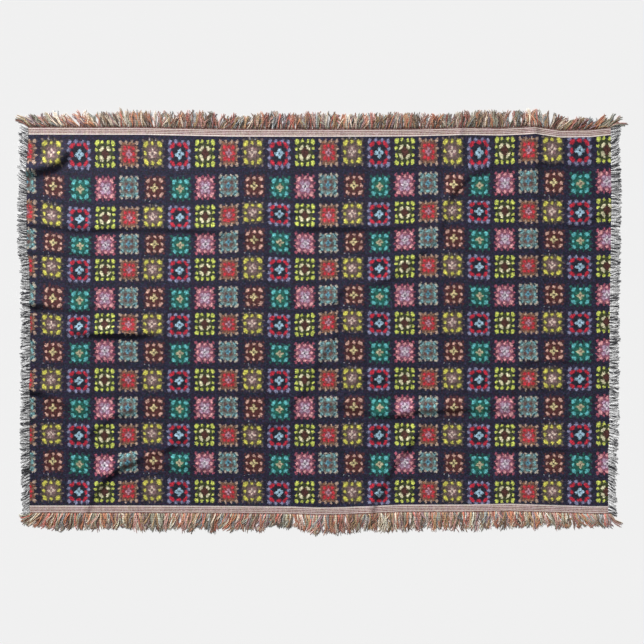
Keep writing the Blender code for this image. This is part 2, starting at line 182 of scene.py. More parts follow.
# Where the folds have pushed the squares aside: the column and row of squares in the middle of the push,
# how many squares it reaches, and how far it goes to the right and down, in mm. The first whole column is
# 0, and the cut-off one to its left is -1.
PUSHES = (
    (8.2, 2.5, 1.1, 0, -9.0), (1.2, 2.2, 1.0, 0, 3.0), (2.5, 2.0, 2.5, 2.2, 0), (15.5, 2.5, 1.6, 0, -4.0),
    (10.7, 2.7, 1.1, 0, 2.4), (20.3, 2.7, 1.6, 0, 3.0), (0.0, 3.7, 0.9, 0, -5.0),
    (14.6, 4.0, 1.2, 0, -2.6), (17.7, 4.4, 1.2, 0, 1.9), (0.6, 5.6, 1.0, 0, 4.2),
    (2.4, 6.4, 0.9, 0, -2.6), (9.8, 6.2, 1.1, 0, 3.8), (11.8, 6.2, 1.1, 0, -4.6), (4.3, 7.2, 1.0, 0, 1.6),
    (22.3, 6.5, 1.3, 0, -2.8), (22.3, 9.0, 1.3, 0, -3.0), (13.3, 8.6, 1.4, 0, -2.3),
    (8.4, 9.5, 1.1, 0, 2.4), (2.1, 11.0, 0.9, 0, 4.4), (4.2, 10.9, 1.0, 0, -4.6),
    (14.6, 11.3, 1.2, 0, -2.6), (0.0, 11.0, 0.7, 0, -2.6), (7.2, 1.0, 0.7, 0, -2.0),
    (11.0, 1.0, 0.7, 0, -1.6), (16.5, 1.0, 1.0, 0, 2.6), (19.0, 1.0, 0.8, 0, -2.8),
    (22.0, 1.0, 0.8, 0, -3.4), (20.5, 0.0, 2.0, 0, -2.0), (-0.4, 1.2, 0.9, 0, -4.4),
    (-0.3, 2.6, 0.7, 0, -2.6), (-0.3, 4.2, 0.6, 0, -3.0), (7.0, 2.0, 4.0, 1.2, 0),
    (16.5, 0.4, 0.8, 0, 2.0), (16.5, 2.0, 0.6, 0, -2.6), (22.0, 1.8, 0.7, 0, -2.0),
    (19.6, 4.0, 0.9, 0, -2.2), (11.4, 5.5, 0.9, 0, -2.8), (16.5, 5.0, 0.7, 0, -2.0),
    (2.0, 7.0, 0.6, 0, -2.0), (21.2, 9.5, 0.9, 0, -2.0), (2.0, 10.7, 0.7, 0, 2.2),
    (17.5, 12.0, 0.9, 0, 2.2), (-1.0, 0.0, 0.7, 0, -4.5), (-1.0, 1.0, 0.7, 0, -7.5),
    (-1.0, 2.0, 0.7, 0, -9.5), (-1.0, 3.0, 0.7, 0, -8.5), (-1.0, 4.0, 0.7, 0, -5.0),
    (-1.0, 5.0, 0.7, 0, -4.5), (-1.0, 6.0, 0.7, 0, -4.0), (-1.0, 7.0, 0.7, 0, -2.0),
)
SQUARE_HALF = 0.41
SQUARE_SPAN = 0.45


def between(rows, place, column=1):
    """The value in a column of a table at a place along it, straight between the table's rows."""
    if place <= rows[0][0]:
        return rows[0][column]
    for low, high in zip(rows, rows[1:]):
        if place <= high[0]:
            share = (place - low[0]) / (high[0] - low[0])
            return low[column] + (high[column] - low[column]) * share
    return rows[-1][column]


def crest_nearest(spot, crest):
    """How far a spot is from a fold's crest, the crest's height there, and the way to the spot."""
    best, height, side = math.inf, 0.0, None
    for (start, low), (end, high) in zip(crest, crest[1:]):
        along = end - start
        share = max(0.0, min(1.0, (spot - start).dot(along) / along.length_squared))
        away = spot - start - along * share
        if away.length < best:
            best, height, side = away.length, low + (high - low) * share, away
    return best, height, side


CRESTS = [
    (gentle * MM, steep * MM, [(Vector((x * MM, y * MM)), height * MM) for x, y, height in points])
    for name, gentle, steep, points in FOLDS
]


def beside(spot, crest, reach):
    """Whether a spot is near enough to a crest's own box to lie on its fold."""
    return all(
        min(point[axis] for point, _ in crest) - reach < spot[axis]
        < max(point[axis] for point, _ in crest) + reach
        for axis in (0, 1)
    )


def relief(x, y):
    """How high the cloth's underside stands over the floor: a ridge along each fold's crest, steeper on
    the side that the cloth has slid towards, down and to the right."""
    spot = Vector((x, y))
    total = 0.0
    for gentle, steep, crest in CRESTS:
        if not beside(spot, crest, gentle):
            continue
        distance, height, side = crest_nearest(spot, crest)
        steepness = 0.5
        if distance > 0:
            steepness = max(0.0, min(1.0, 0.5 + side.normalized().dot(STEEP_WAY)))
        reach = gentle + (steep - gentle) * steepness
        if distance < reach:
            ridge = height * 0.5 * (1 + math.cos(math.pi * distance / reach))
            total += ridge**FOLD_SHARING
    return total ** (1 / FOLD_SHARING)


def edge_line(side, place):
    """The coordinate across an edge of the panel, at a place along it, in metres."""
    mean = {"top": PANEL_TOP, "bottom": PANEL_BOTTOM, "left": PANEL_LEFT, "right": PANEL_RIGHT}[side]
    outward = 1 if side in ("top", "right") else -1
    return mean + outward * between(EDGE_WANDER[side], place / MM) * MM


def panel_spot(across, up):
    """The spot at a share of the way across and up the panel, between its four wandering edges."""
    x = PANEL_LEFT + (PANEL_RIGHT - PANEL_LEFT) * across
    y = PANEL_BOTTOM + (PANEL_TOP - PANEL_BOTTOM) * up
    left, right = edge_line("left", y), edge_line("right", y)
    bottom, top = edge_line("bottom", x), edge_line("top", x)
    return left + (right - left) * across, bottom + (top - bottom) * up


def set_out_shift():
    """How far the solids lie from the places in the tables, worked out from the panel's own box."""
    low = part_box("woven_panel")[0]
    left = PANEL_LEFT - max(row[1] for row in EDGE_WANDER["left"]) * MM
    bottom = PANEL_BOTTOM - max(row[1] for row in EDGE_WANDER["bottom"]) * MM
    return Vector((low[0] - left, low[1] - bottom, 0))


SHIFT = set_out_shift()


def linear(red, green, blue):
    """A colour as it looks, from 0 to 255, as the shader's own linear one."""
    def channel(value):
        value /= 255
        return value / 12.92 if value <= 0.04045 else ((value + 0.055) / 1.055) ** 2.4
    return channel(red), channel(green), channel(blue), 1.0


# Painted light over the top left corner, a soft pool of light: how far it reaches across and down, what
# it adds to a colour, and how much brighter it makes it
PAINTED_LIGHT_REACH = (1.3, 0.65)
PAINTED_LIGHT_COLOUR = (0.015, 0.015, 0.017, 1.0)
PAINTED_LIGHT_GAIN = 0.3


class Finish:
    """A material and the nodes that are added to it, one after another."""

    def __init__(self, name, roughness, sheen):
        self.material = bpy.data.materials.new(name)
        self.material.use_nodes = True
        self.tree = self.material.node_tree
        self.shader = self.tree.nodes["Principled BSDF"]
        self.shader.inputs["Roughness"].default_value = roughness
        self.shader.inputs["Specular IOR Level"].default_value = 0.2
        self.shader.inputs["Sheen Weight"].default_value = sheen
        self.shader.inputs["Sheen Roughness"].default_value = 0.6

    def add(self, kind, inputs=(), **settings):
        """A node, with its settings, and its inputs given as values or as other nodes' sockets."""
        made = self.tree.nodes.new(kind)
        for name, value in settings.items():
            setattr(made, name, value)
        for key, value in dict(inputs).items():
            if isinstance(value, bpy.types.NodeSocket):
                self.tree.links.new(value, made.inputs[key])
            else:
                made.inputs[key].default_value = value
        return made

    def sum(self, operation, *values):
        """One step of arithmetic."""
        return self.add("ShaderNodeMath", enumerate(values), operation=operation).outputs[0]

    def limit(self, value):
        """A value held between 0 and 1."""
        return self.add("ShaderNodeClamp", {"Value": value}).outputs[0]

    def blend(self, share, one, other, way="MIX"):
        """One colour mixed with another by a share."""
        made = self.add("ShaderNodeMix", data_type="RGBA", blend_type=way)
        for socket, value in ((made.inputs[0], share), (made.inputs[6], one), (made.inputs[7], other)):
            if isinstance(value, bpy.types.NodeSocket):
                self.tree.links.new(value, socket)
            else:
                socket.default_value = value
        return made.outputs[2]

    def shaded(self, colour, gain):
        """A colour made darker or paler by a value."""
        return self.blend(1.0, colour, self.join(gain, gain, gain), "MULTIPLY")

    def split(self, vector):
        """A vector's or a colour's three values."""
        return self.add("ShaderNodeSeparateXYZ", {0: vector}).outputs[:3]

    def join(self, x, y, z=0.0):
        """A vector from three values."""
        return self.add("ShaderNodeCombineXYZ", {0: x, 1: y, 2: z}).outputs[0]

    def chance(self, vector):
        """Three even chances for each whole place."""
        noise = self.add("ShaderNodeTexWhiteNoise", {"Vector": vector}, noise_dimensions="3D")
        return self.split(noise.outputs["Color"])

    def noise(self, vector, scale, detail=2.0, roughness=0.5):
        """A soft noise, as a value about 0.5 and as a colour."""
        made = self.add(
            "ShaderNodeTexNoise",
            {"Vector": vector, "Scale": scale, "Detail": detail, "Roughness": roughness},
        )
        return made.outputs["Fac"], made.outputs["Color"]

    def choose(self, place, colours):
        """One of a row of colours, by a place from 0 to 1 along the row."""
        ramp = self.add("ShaderNodeValToRGB", {"Fac": place})
        ramp.color_ramp.interpolation = "CONSTANT"
        stops = ramp.color_ramp.elements
        while len(stops) < len(colours):
            stops.new(0.5)
        for i, colour in enumerate(colours):
            stops[i].position = i / len(colours)
        for i, colour in enumerate(colours):
            stops[i].color = colour
        return ramp.outputs["Color"]

    def painted_light(self, colour):
        """A colour made paler towards the throw's top left corner, as painted light: a soft pool of light
        there.
        """
        x, y, _ = self.split(self.add("ShaderNodeTexCoord").outputs["Object"])
        far_x = self.sum("DIVIDE", self.sum("SUBTRACT", x, PANEL_LEFT), PAINTED_LIGHT_REACH[0])
        far_y = self.sum("DIVIDE", self.sum("SUBTRACT", PANEL_TOP, y), PAINTED_LIGHT_REACH[1])
        far = self.sum("SQRT", self.sum("MULTIPLY_ADD", far_x, far_x, self.sum("MULTIPLY", far_y, far_y)))
        near = self.limit(self.sum("SUBTRACT", 1.0, far))
        # Painted light: brighter and a little paler near the top left corner
        gain = self.sum("MULTIPLY_ADD", near, PAINTED_LIGHT_GAIN, 1.0)
        colour = self.shaded(colour, gain)
        return self.blend(near, colour, PAINTED_LIGHT_COLOUR, "ADD")

    def close(self, colour, height, distance, strength):
        """Joins the colour, with the painted light over the top left corner, and a height as bump, to the
        shader.
        """
        self.tree.links.new(self.painted_light(colour), self.shader.inputs["Base Color"])
        bump = self.add("ShaderNodeBump", {"Height": height, "Distance": distance, "Strength": strength})
        self.tree.links.new(bump.outputs[0], self.shader.inputs["Normal"])
        return self.material


# The eight squares, four for the odd rows and four for the even ones, and the colour of each one's parts
COLOUR_COLUMNS = ("petals", "dot", "heart", "inner", "middle", "ring", "edge", "rim")
SQUARE_COLOURS = (
    # yellow, blue and red, lime, red and orange
    ((228, 204, 190), (110, 84, 88), (134, 106, 108), (116, 98, 104), (104, 88, 80), (220, 214, 96),
     (92, 84, 66), (128, 112, 104)),
    ((166, 202, 222), (20, 24, 40), (26, 32, 42), (26, 36, 46), (38, 36, 52), (200, 44, 64),
     (90, 78, 108), (142, 146, 178)),
    ((86, 50, 46), (86, 50, 46), (72, 50, 40), (236, 230, 190), (62, 68, 40), (212, 222, 104),
     (68, 76, 46), (212, 222, 104)),
    ((190, 142, 158), (112, 66, 84), (150, 66, 72), (196, 52, 66), (126, 76, 70), (208, 54, 66),
     (164, 120, 88), (186, 160, 142)),
    # brown and pink, teal, pink, grey and blue
    ((226, 208, 156), (52, 56, 44), (92, 50, 48), (88, 48, 42), (86, 46, 46), (220, 174, 158),
     (76, 42, 46), (98, 52, 56)),
    ((192, 184, 152), (120, 100, 86), (44, 114, 92), (42, 110, 86), (32, 96, 88), (102, 194, 196),
     (30, 82, 76), (38, 104, 92)),
    ((222, 208, 220), (48, 38, 54), (156, 124, 150), (190, 158, 184), (150, 92, 114), (234, 164, 168),
     (124, 66, 86), (176, 90, 110)),
    ((108, 164, 182), (44, 84, 104), (102, 100, 102), (108, 80, 76), (108, 122, 120), (132, 186, 190),
     (130, 124, 116), (190, 180, 166)),
)
# Where each square's stitches lie: (place from the middle, depth, width), in half squares. Petals, mids
# and rim are set off straight up and across, and inner, corner and rim corner off the diagonals.
SHAPE_COLUMNS = ("petal", "inner", "mid", "corner", "rim", "rim_corner")
NONE = (0.0, 0.0, 0.0)
SQUARE_SHAPES = (
    ((0.18, 0.20, 0.10), NONE, (0.73, 0.14, 0.14), (0.94, 0.18, 0.26), (1.04, 0.10, 0.06),
     (1.34, 0.10, 0.10)),
    ((0.18, 0.22, 0.16), NONE, (0.71, 0.13, 0.21), (0.90, 0.15, 0.28), (0.94, 0.14, 0.13),
     (1.25, 0.14, 0.22)),
    ((0.14, 0.23, 0.12), (0.50, 0.13, 0.25), NONE, NONE, (0.86, 0.14, 0.13), (1.14, 0.19, 0.23)),
    ((0.17, 0.17, 0.11), NONE, (0.50, 0.14, 0.14), (0.61, 0.15, 0.17), (0.93, 0.15, 0.09),
     (1.22, 0.17, 0.15)),
    ((0.16, 0.24, 0.12), NONE, (0.74, 0.12, 0.13), (0.92, 0.14, 0.25), (1.04, 0.10, 0.07),
     (1.32, 0.10, 0.12)),
    ((0.17, 0.20, 0.13), NONE, (0.72, 0.13, 0.15), (0.93, 0.17, 0.24), (1.05, 0.13, 0.07),
     (1.34, 0.13, 0.12)),
    ((0.20, 0.20, 0.12), (0.50, 0.12, 0.20), (0.74, 0.14, 0.15), (0.95, 0.17, 0.26), (0.99, 0.12, 0.08),
     (1.29, 0.12, 0.15)),
    ((0.14, 0.19, 0.11), (0.46, 0.15, 0.20), (0.76, 0.13, 0.26), (1.04, 0.17, 0.30), (0.95, 0.11, 0.12),
     (1.26, 0.14, 0.22)),
)
# How each square sits in its place: its size, and its shift to the right and up, in half squares
SQUARE_FITS = (
    (0.98, -0.06, 0.06), (1.0, -0.03, -0.05), (0.98, 0.03, 0.02), (0.98, -0.01, 0.0),
    (0.93, 0.1, 0.05), (0.9, 0.05, -0.08), (0.96, 0.03, 0.0), (0.92, -0.04, 0.07),
)
# How far out each square's fuzz reaches
SQUARE_REACHES = (1.02, 0.98, 0.84, 0.88, 1.02, 1.0, 0.96, 0.94)
SHAPE_SCALE = 1.5
# How far out the inner rounds of fuzz and the dot in the middle reach
INNER_ROUNDS = (("middle", 0.8), ("heart", 0.46))
DOT_REACH = 0.13
# The few pale specks between the squares: which square's place they lie in, and where
SPECKS = ((0, -0.30, 1.06), (0, 0.24, 1.02), (4, -0.84, -1.02), (4, -0.36, -1.10))
SPECK_SIZE = 0.048
SPECK_COLOUR = (170, 170, 178)

# How many of the little gaps between stitches there are to a metre
STITCH_GROUPS = 230.0
# One stitch of the weave: its length and height
STITCH_LONG = 0.0019
STITCH_HIGH = 0.00105

GROUND = (30, 31, 47)
GROUND_FLECKS = ((52, 30, 66), (22, 48, 54), (60, 64, 94), (12, 12, 22), (28, 32, 60), (60, 33, 44))
# The share of a fleck's cell that one stitch takes up, across and up
FLECK_CELL = (0.5, 0.34, 1.0)


def weave_cells(finish):
    """The weave's stitches, laid like bricks: each one's place, height and way to its middle."""
    x, y, _ = finish.split(finish.add("ShaderNodeTexCoord").outputs["Object"])
    along_y = finish.sum("DIVIDE", y, STITCH_HIGH)
    row = finish.sum("FLOOR", along_y)
    stagger = finish.sum("MULTIPLY", finish.sum("FLOORED_MODULO", row, 2.0), 0.5)
    along_x = finish.sum("ADD", finish.sum("DIVIDE", x, STITCH_LONG), stagger)
    column = finish.sum("FLOOR", along_x)
    in_x = finish.sum("SUBTRACT", finish.sum("SUBTRACT", along_x, column), 0.5)
    in_y = finish.sum("SUBTRACT", finish.sum("SUBTRACT", along_y, row), 0.5)
    far_x = finish.sum("MULTIPLY", finish.sum("ABSOLUTE", in_x), 2.0)
    far_y = finish.sum("MULTIPLY", finish.sum("ABSOLUTE", in_y), 2.0)
    bulge_x = finish.sum("SUBTRACT", 1.0, finish.sum("POWER", far_x, 4.0))
    bulge_y = finish.sum("SUBTRACT", 1.0, finish.sum("POWER", far_y, 2.0))
    height = finish.sum("MULTIPLY", bulge_x, bulge_y)
    return finish.join(column, row), height, in_x, in_y


def from_middle(finish, along, across, middle):
    """How far two measures lie from a middle point."""
    one = finish.sum("SUBTRACT", along, middle[0])
    other = finish.sum("SUBTRACT", across, middle[1])
    squares = finish.sum("MULTIPLY_ADD", one, one, finish.sum("MULTIPLY", other, other))
    return finish.sum("SQRT", squares)


def stitch_group(finish, along, across, shape, offset):
    """A soft-edged oval of stitches, set off from the middle along one measure and across the other."""
    place, depth, width = (finish.sum("MULTIPLY", part, SHAPE_SCALE) for part in finish.split(shape))
    deep = finish.sum("DIVIDE", finish.sum("SUBTRACT", along, place), finish.sum("ADD", depth, 1e-4))
    wide = finish.sum("DIVIDE", finish.sum("SUBTRACT", across, offset), finish.sum("ADD", width, 1e-4))
    distance = from_middle(finish, deep, wide, (0.0, 0.0))
    return finish.limit(finish.sum("MULTIPLY", finish.sum("SUBTRACT", 1.14, distance), 4.0))


def square_measures(finish, cell_chance, in_x, in_y):
    """Which square a stitch belongs to, from 0 to 1 along the tables, and where it lies in it."""
    u, v, _ = finish.split(finish.add("ShaderNodeUVMap", uv_map="squares").outputs[0])
    fray = 0.042
    u = finish.sum("MULTIPLY_ADD", in_x, -STITCH_LONG / (COLUMN_REPEAT / 4), u)
    v = finish.sum("MULTIPLY_ADD", in_y, STITCH_HIGH / ROW_PITCH, v)
    u = finish.sum("MULTIPLY_ADD", finish.sum("SUBTRACT", cell_chance[0], 0.5), fray, u)
    v = finish.sum("MULTIPLY_ADD", finish.sum("SUBTRACT", cell_chance[1], 0.5), fray, v)
    column, row = finish.sum("FLOOR", u), finish.sum("FLOOR", v)
    odd_row = finish.sum("FLOORED_MODULO", row, 2.0)
    in_four = finish.sum("FLOORED_MODULO", column, 4.0)
    which = finish.sum("MULTIPLY_ADD", odd_row, 4.0, in_four)
    pick = finish.sum("DIVIDE", finish.sum("ADD", which, 0.5), 8.0)
    x = finish.sum("DIVIDE", finish.sum("SUBTRACT", finish.sum("SUBTRACT", u, column), 0.5), SQUARE_HALF)
    y = finish.sum("DIVIDE", finish.sum("SUBTRACT", 0.5, finish.sum("SUBTRACT", v, row)), SQUARE_HALF)
    return which, pick, x, y


def pattern_colour(finish, which, pick, x, y, ground):
    """The colour of the granny squares: rounds of fuzz, and groups of stitches set on them."""

    def table(rows):
        return finish.choose(pick, rows)

    size, right, up = finish.split(table([(a / 2, b + 0.5, c + 0.5, 1) for a, b, c in SQUARE_FITS]))
    _, sway = finish.noise(finish.join(x, y, finish.sum("MULTIPLY", which, 5.3)), 1.9, 1.0)
    sway_x, sway_y, _ = finish.split(sway)
    measures = []
    for value, shift, bend in ((x, right, sway_x), (y, up, sway_y)):
        moved = finish.sum("SUBTRACT", value, finish.sum("SUBTRACT", shift, 0.5))
        scaled = finish.sum("DIVIDE", moved, finish.sum("MULTIPLY", size, 2.0))
        swayed = finish.sum("MULTIPLY_ADD", finish.sum("SUBTRACT", bend, 0.5), 0.2, scaled)
        measures.append(finish.sum("ABSOLUTE", swayed))
    far = finish.sum("MAXIMUM", *measures)
    near = finish.sum("MINIMUM", *measures)
    diagonal = finish.sum("MULTIPLY", finish.sum("ADD", far, near), math.sqrt(0.5))
    aside = finish.sum("MULTIPLY", finish.sum("SUBTRACT", far, near), math.sqrt(0.5))

    tones = {
        name: table([linear(*row[i]) for row in SQUARE_COLOURS]) for i, name in enumerate(COLOUR_COLUMNS)
    }
    shapes = {
        name: table([(*(value / SHAPE_SCALE for value in row[i]), 1) for row in SQUARE_SHAPES])
        for i, name in enumerate(SHAPE_COLUMNS)
    }
    reach = finish.split(table([(value / SHAPE_SCALE, 0, 0, 1) for value in SQUARE_REACHES]))[0]
    round_far = finish.sum("MAXIMUM", far, finish.sum("MULTIPLY", diagonal, 0.8))
    teeth = finish.sum("MULTIPLY", finish.sum("COSINE", finish.sum("MULTIPLY", near, 4.6 * math.pi)), 0.05)
    hairs, _ = finish.noise(finish.join(x, y, finish.sum("MULTIPLY", which, 3.7)), 6.5, 1.0)
    teeth = finish.sum("MULTIPLY_ADD", finish.sum("SUBTRACT", hairs, 0.5), 0.5, teeth)
    limit = finish.sum("MULTIPLY_ADD", reach, SHAPE_SCALE, teeth)
    cover = finish.limit(finish.sum("MULTIPLY", finish.sum("SUBTRACT", limit, round_far), 8.0))
    colour = tones["edge"]
    for name, outer in INNER_ROUNDS:
        inside = finish.limit(finish.sum("MULTIPLY", finish.sum("SUBTRACT", outer, round_far), 8.0))
        colour = finish.blend(inside, colour, tones[name])
    groups = (
        ("rim", far, near, "rim", 0.29), ("rim", diagonal, aside, "rim_corner", 0.0),
        ("ring", far, near, "mid", 0.0), ("ring", diagonal, aside, "corner", 0.0),
        ("inner", diagonal, aside, "inner", 0.0), ("petals", far, near, "petal", 0.0),
    )
    for tone, along, across, shape, offset in groups:
        mask = stitch_group(finish, along, across, shapes[shape], offset)
        colour = finish.blend(mask, colour, tones[tone])
        if tone == "rim":
            cover = finish.sum("MAXIMUM", cover, mask)
    dot = finish.limit(finish.sum("MULTIPLY", finish.sum("SUBTRACT", DOT_REACH, round_far), 14.0))
    colour = finish.blend(dot, colour, tones["dot"])
    place = finish.add("ShaderNodeTexCoord").outputs["Object"]
    stitches = finish.add("ShaderNodeTexVoronoi", {"Vector": place, "Scale": STITCH_GROUPS}, feature="F1")
    gaps = finish.sum("MULTIPLY_ADD", stitches.outputs["Distance"], -1.05, 1.5)
    colour = finish.shaded(colour, gaps)
    return finish.blend(cover, ground, colour)


def granny_cloth():
    """Dark navy cloth woven with granny squares in eight colourings."""
    finish = Finish("granny_square_cloth", 0.92, 0.06)
    cell, height, in_x, in_y = weave_cells(finish)
    chance = finish.chance(cell)
    which, pick, x, y = square_measures(finish, chance, in_x, in_y)
    tints = [linear(*fleck) for fleck in GROUND_FLECKS]
    wide_cell = finish.add("ShaderNodeVectorMath", {0: cell, 1: FLECK_CELL}, operation="MULTIPLY")
    wide_cell = finish.add("ShaderNodeVectorMath", {0: wide_cell.outputs[0]}, operation="FLOOR")
    wide_chance = finish.chance(wide_cell.outputs[0])
    ground = finish.blend(0.6, linear(*GROUND), finish.choose(wide_chance[0], tints))
    ground = finish.blend(0.4, ground, finish.choose(chance[2], tints))
    colour = pattern_colour(finish, which, pick, x, y, ground)
    for square, right, up in SPECKS:
        here = finish.sum("COMPARE", which, float(square), 0.1)
        near = finish.sum("LESS_THAN", from_middle(finish, x, y, (right, up)), SPECK_SIZE)
        colour = finish.blend(finish.sum("MULTIPLY", here, near), colour, linear(*SPECK_COLOUR))
    place = finish.add("ShaderNodeTexCoord").outputs["Object"]
    tone, cast = finish.noise(place, 330.0, 1.0)
    colour = finish.blend(0.16, colour, cast, "OVERLAY")
    shade = finish.sum("MULTIPLY_ADD", chance[0], 0.4, finish.sum("MULTIPLY_ADD", tone, 1.5, 0.03))
    colour = finish.shaded(colour, shade)
    # Painted shade: each stitch is made darker towards its edges, between the stitches, by the weave's
    # height
    painted_groove_shade = finish.sum("MULTIPLY_ADD", height, 0.45, 0.62)
    colour = finish.shaded(colour, painted_groove_shade)
    return finish.close(colour, height, 0.0004, 0.6)


HEADING_GROUND = (232, 217, 210)
# The darker lines of a heading: share of the way from panel to fringe, half width, colour, strength
HEADING_LINES = (
    (0.23, 0.09, (128, 80, 78), 0.9),
    (0.44, 0.09, (122, 74, 72), 0.9),
    (0.64, 0.09, (128, 78, 74), 0.9),
    (0.97, 0.21, (104, 50, 44), 1.0),
)


def heading_cloth():
    """A plain woven band in pale pink and beige, with darker lines along it and faint upright streaks."""
    finish = Finish("heading_band_cloth", 0.9, 0.08)
    cell, height, _, _ = weave_cells(finish)
    chance = finish.chance(cell)
    along, across, _ = finish.split(finish.add("ShaderNodeUVMap", uv_map="band").outputs[0])
    colour = linear(*HEADING_GROUND)
    for along_scale, across_scale, strength in ((300.0, 1.2, 0.3), (40.0, 1.5, 0.16)):
        spread = finish.join(
            finish.sum("MULTIPLY", along, along_scale), finish.sum("MULTIPLY", across, across_scale)
        )
        tone, streak = finish.noise(spread, 1.0, 2.0)
        colour = finish.blend(strength, colour, streak, "OVERLAY")
        gain = finish.sum("MULTIPLY_ADD", tone, strength * 2.6, 1.0 - strength * 1.3)
        colour = finish.shaded(colour, gain)
    wander, _ = finish.noise(finish.join(finish.sum("MULTIPLY", along, 30.0), 0.0), 1.0, 2.0)
    for place, half, tone, strength in HEADING_LINES:
        middle = finish.sum("MULTIPLY_ADD", wander, 0.06, place - 0.03)
        distance = finish.sum("ABSOLUTE", finish.sum("SUBTRACT", across, middle))
        line = finish.limit(finish.sum("MULTIPLY", finish.sum("SUBTRACT", half, distance), 2.0 / half))
        dashes = finish.sum("MULTIPLY_ADD", chance[1], 0.6, 0.6)
        line = finish.sum("MULTIPLY", finish.sum("MULTIPLY", line, strength), dashes)
        colour = finish.blend(finish.limit(line), colour, linear(*tone))
    shade = finish.sum("MULTIPLY_ADD", chance[0], 0.26, 0.82)
    colour = finish.shaded(colour, shade)
    # Painted shade: each stitch is made darker towards its edges, between the stitches, by the weave's
    # height
    painted_groove_shade = finish.sum("MULTIPLY_ADD", height, 0.25, 0.78)
    colour = finish.shaded(colour, painted_groove_shade)
    return finish.close(colour, height, 0.0004, 0.6)


# How far a yarn runs in one turn of its twist
PLY_PITCH = 0.0042


def yarn(name):
    """Soft twisted yarn, which takes its colour from each strand, with painted shade between the plies of
    its twist.
    """
    finish = Finish(name, 0.88, 0.12)
    tint = finish.add("ShaderNodeAttribute", attribute_name="strand_colour").outputs["Color"]
    around, along, _ = finish.split(finish.add("ShaderNodeUVMap", uv_map="strand").outputs[0])
    turns = finish.sum("ADD", finish.sum("MULTIPLY", around, 2.0), finish.sum("DIVIDE", along, PLY_PITCH))
    ply = finish.sum("SINE", finish.sum("MULTIPLY", turns, 2 * math.pi))
    ply = finish.sum("MULTIPLY_ADD", ply, 0.5, 0.5)
    place = finish.add("ShaderNodeTexCoord").outputs["Object"]
    hairs, _ = finish.noise(place, 1400.0, 3.0, 0.7)
    # Painted shade: darker between the plies of the twist; the hairs add a random tone
    shade = finish.sum("MULTIPLY_ADD", ply, 0.4, finish.sum("MULTIPLY_ADD", hairs, 0.5, 0.5))
    colour = finish.shaded(tint, shade)
    height = finish.sum("ADD", ply, finish.sum("MULTIPLY", hairs, 0.5))
    return finish.close(colour, height, 0.00035, 0.8)


def deselect():
    """Leaves nothing selected, so that the next operator acts on its own piece alone."""
    bpy.ops.object.select_all(action="DESELECT")


def woven_sheet(name, across, up, spot, uv_name, uv_spot):
    """A finely divided sheet of cloth with its thickness, set out by the shares across and up."""
    deselect()
    bpy.ops.mesh.primitive_grid_add(x_subdivisions=across, y_subdivisions=up, size=1)
    sheet = bpy.context.object
    sheet.name = name
    mesh = sheet.data
    shares = [(vertex.co.x + 0.5, vertex.co.y + 0.5) for vertex in mesh.vertices]
    places = [spot(*share) for share in shares]
    for vertex, place in zip(mesh.vertices, places):
        vertex.co = Vector(place) + SHIFT
    uvs = [uv_spot(*place[:2]) for place in places]
    mesh.uv_layers[0].name = uv_name
    layer = mesh.uv_layers[0].data
    for loop in mesh.loops:
        layer[loop.index].uv = uvs[loop.vertex_index]
    mesh.update()
    thick = sheet.modifiers.new("cloth thickness", "SOLIDIFY")
    thick.thickness = CLOTH - SHEET_THINNER
    thick.offset = -1
    bpy.ops.object.modifier_apply(modifier=thick.name)
    bpy.ops.object.shade_smooth_by_angle(angle=math.radians(50))
    return sheet


def square_place(x, y):
    """Which square a spot lies in: columns from the left and rows from the top, with shares of them."""
    stretched = x - between(COLUMN_STRETCH, x / MM) * MM
    turns, share = divmod((stretched - FIRST_COLUMN) / COLUMN_REPEAT, 1.0)
    columns = [(place, i) for i, place in enumerate(COLUMN_SHARES)] + [(1.0, 4)]
    u = turns * 4 + between(columns, share) + 0.5
    edges = []
    for i, row in enumerate(SQUARE_ROWS):
        middle = between(list(zip(ROW_PLACES, row)), x / MM)
        for share in (-SQUARE_SPAN, SQUARE_SPAN):
            edges.append(((share * row[3] - middle) * MM, i + 0.5 + share))
    edges.insert(0, (edges[0][0] - ROW_PITCH, edges[0][1] - 1.0))
    edges.append((edges[-1][0] + ROW_PITCH, edges[-1][1] + 1.0))
    v = between(edges, -y)
    moved_u, moved_v = u, v
    for column, row, reach, right, down in PUSHES:
        near = math.exp(-((u - 0.5 - column) ** 2 + (v - 0.5 - row) ** 2) / reach**2)
        moved_u -= near * right * MM / (COLUMN_REPEAT / 4)
        moved_v -= near * down * MM / ROW_PITCH
    # No square starts beyond the first and last rows
    return moved_u, max(0.0, min(len(SQUARE_ROWS), moved_v))


def panel_top(across, up):
    """A spot on the panel's face."""
    x, y = panel_spot(across, up)
    return x, y, relief(x, y) + CLOTH


def heading_face(side):
    """The function that sets out one heading band from the panel's edge."""
    outward = 1 if side == "top" else -1

    def spot(across, up):
        share = up if side == "top" else 1 - up
        x, edge = panel_spot(across, 1.0 if side == "top" else 0.0)
        y = edge + outward * HEADING_WIDTH * share
        rib = HEADING_RIB * math.cos(share * 2 * math.pi * HEADING_RIBS)
        return x, y, relief(x, y) + CLOTH + rib + HEADING_LIFT

    def band_place(x, y):
        return x, abs(y - edge_line(side, x)) / HEADING_WIDTH

    return spot, band_place


# Yarn colours of the long fringes and how much of each there is
MIXED_YARNS = (
    ((196, 134, 104), 9), ((198, 154, 144), 10), ((132, 100, 84), 13), ((158, 156, 138), 12),
    ((224, 206, 186), 17), ((102, 88, 76), 11), ((174, 146, 110), 12), ((146, 150, 150), 7),
    ((196, 118, 104), 6), ((150, 124, 130), 6), ((154, 100, 88), 7),
)
BLACK_WHITE_YARNS = (((66, 66, 72), 28), ((234, 234, 234), 57), ((144, 142, 146), 15))
# How pale the yarns of each edge are made, as painted light and shade for how the light falls on each edge
EDGE_PAINTED_LIGHT = {"top": 1.0, "bottom": 1.16, "left": 0.88, "right": 1.0}

